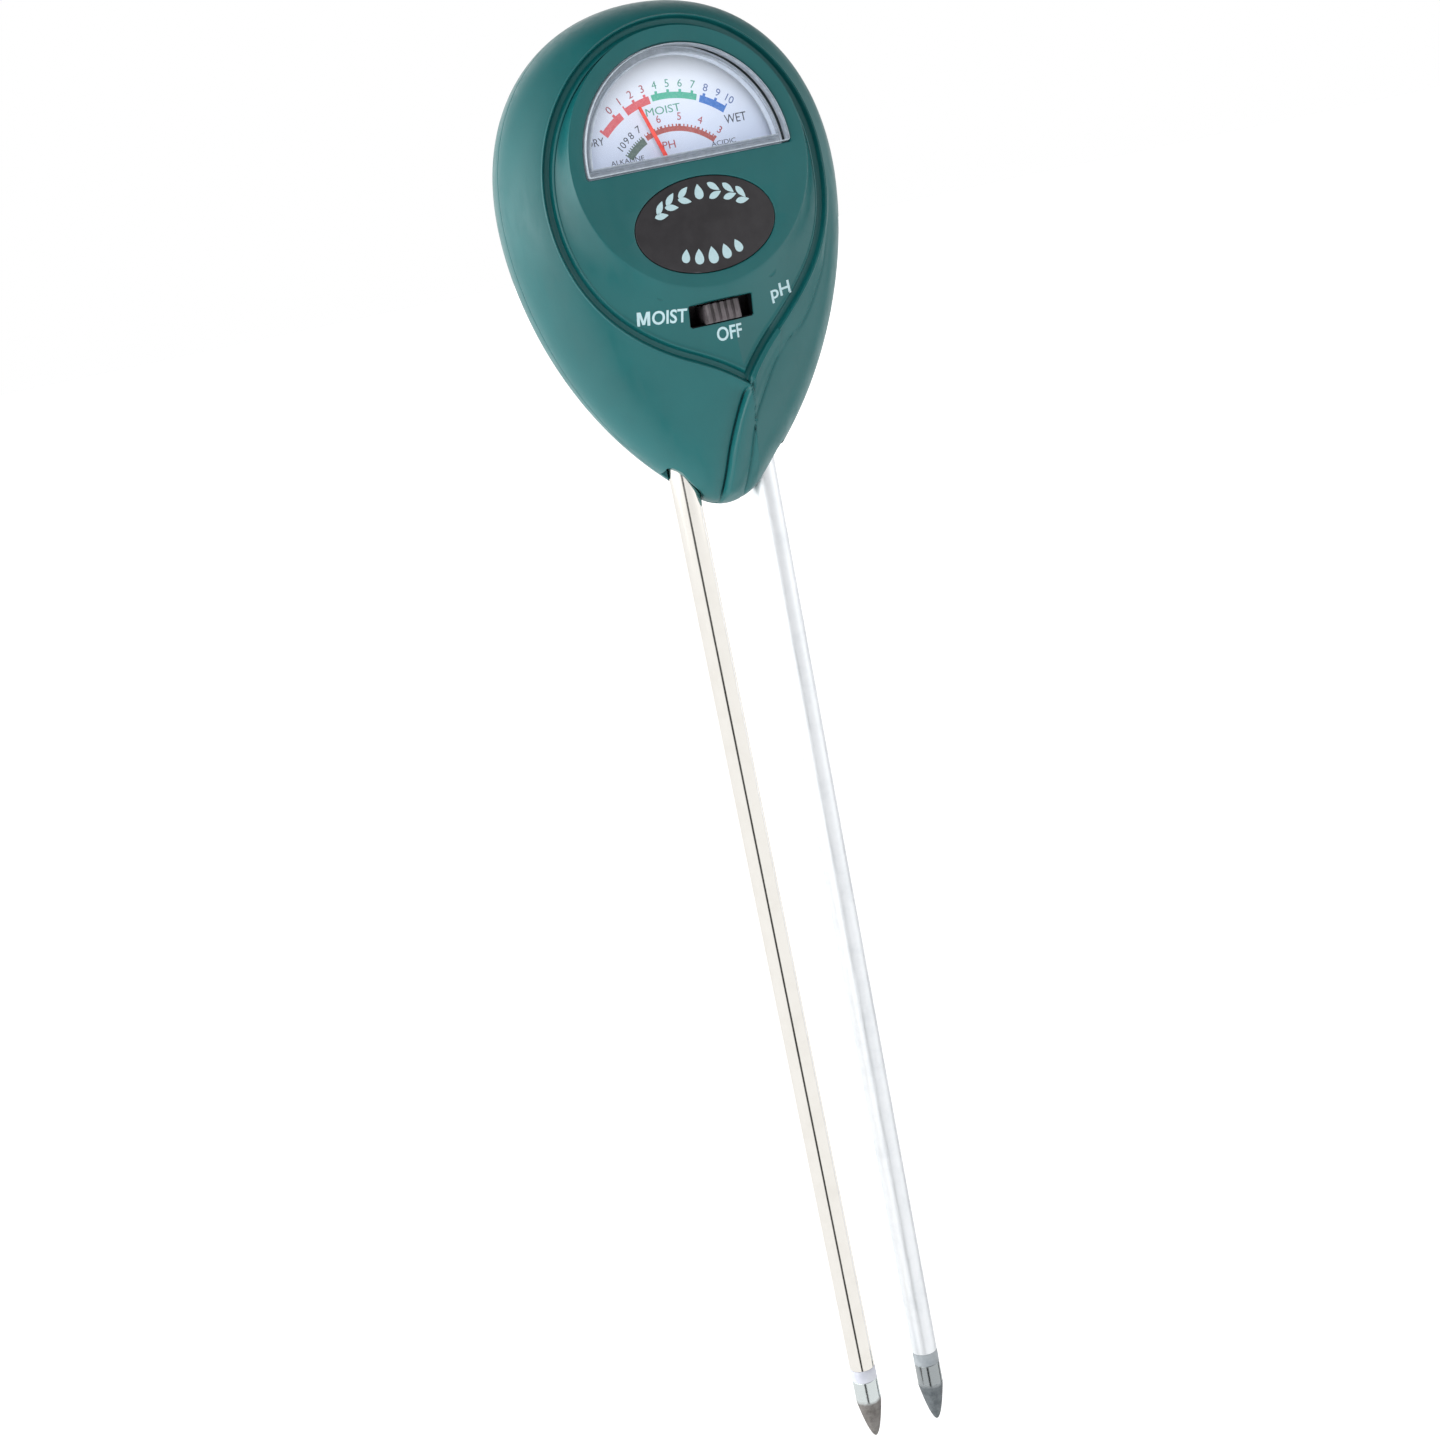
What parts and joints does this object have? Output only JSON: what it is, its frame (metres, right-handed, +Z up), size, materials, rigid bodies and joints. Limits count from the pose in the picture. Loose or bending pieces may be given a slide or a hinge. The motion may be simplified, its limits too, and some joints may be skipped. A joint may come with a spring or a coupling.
{
  "type": "two-probe soil moisture and pH meter",
  "caption": "Hand-held soil meter with a leaf-shaped green head, half-moon dial with a swinging needle, a three-place slide switch and two metal soil probes.",
  "frame": {"origin": "midway between the probes at the height of the lower probe tip, in the plane where the two shells meet", "axes": "+Z up along the probes to the head, -Y out of the dial, +X to the dial's right as it is read"},
  "size_m": [0.0662, 0.0318, 0.293],
  "materials": {
    "green_plastic": "satin moulded ABS",
    "clear_plastic": "clear moulded styrene",
    "dial_card": "matt printed card on a plate",
    "black_plastic": "smooth",
    "knob_plastic": "fine texture",
    "needle_red": "painted",
    "nickel": "bright nickel plate",
    "aluminium": "satin drawn",
    "tip_metal": "dull grey metal",
    "ring_plastic": "plain",
    "brass": "plain",
    "steel": "zinc plated",
    "copper": "enamelled copper",
    "magnet": "sintered",
    "white_plastic": "plain",
    "board": "phenolic sheet",
    "resistor_body": "lacquered",
    "red_wire": "PVC insulation",
    "black_wire": "PVC insulation"
  },
  "bodies": {
    "housing": {"front_shell": "green_plastic", "rear_shell": "green_plastic", "shell_screw_upper_left": "steel", "shell_screw_upper_right": "steel", "shell_screw_lower_left": "steel", "shell_screw_lower_right": "steel", "dial_window": "clear_plastic", "dial_plate": "dial_card", "badge_plate": "black_plastic", "dial_screw_left": "steel", "dial_screw_right": "steel", "movement_screw_left": "steel", "movement_screw_right": "steel", "board_screw_left": "steel", "board_screw_right": "steel", "movement_plate": "white_plastic", "yoke_ring": "steel", "core_magnet": "magnet", "core_spacer_upper": "brass", "core_spacer_lower": "brass", "front_bridge": "brass", "rear_bridge": "brass", "front_jewel": "brass", "rear_jewel": "brass", "front_hairspring": "brass", "rear_hairspring": "brass", "switch_can": "steel", "switch_base": "board", "switch_terminal_1": "copper", "switch_terminal_2": "copper", "switch_terminal_3": "copper", "circuit_board": "board", "moisture_resistor": "resistor_body", "ph_resistor": "resistor_body", "left_probe_tube": "nickel", "right_probe_tube": "aluminium", "left_insulating_ring": "ring_plastic", "right_insulating_ring": "ring_plastic", "left_probe_tip": "tip_metal", "right_probe_tip": "tip_metal", "left_core_rod": "copper", "right_core_rod": "copper", "probe_holder": "white_plastic", "left_probe_wire": "red_wire", "left_coil_wire": "red_wire", "right_probe_wire": "black_wire", "right_coil_wire": "black_wire"},
    "needle_and_coil": {"needle": "needle_red", "needle_hub": "needle_red", "front_pivot": "steel", "rear_pivot": "steel", "coil_former": "aluminium", "coil_winding": "copper"},
    "switch_slider": {"switch_knob": "knob_plastic", "switch_wiper": "copper"}
  },
  "joints": [
    {"name": "needle_swing", "type": "hinge", "parent": "housing", "child": "needle_and_coil", "pos_m": [0, -0.00665, 0.25764], "axis": [0, -0.9951, 0.0993], "range_deg": [-58.5, 23], "stiffness_Nm_per_rad": 0.00002, "deforming": ["front_hairspring", "rear_hairspring"]},
    {"name": "switch_slide", "type": "slide", "parent": "housing", "child": "switch_slider", "axis": [1, 0, 0], "range_m": [-0.0028, 0.0028]}
  ]
}
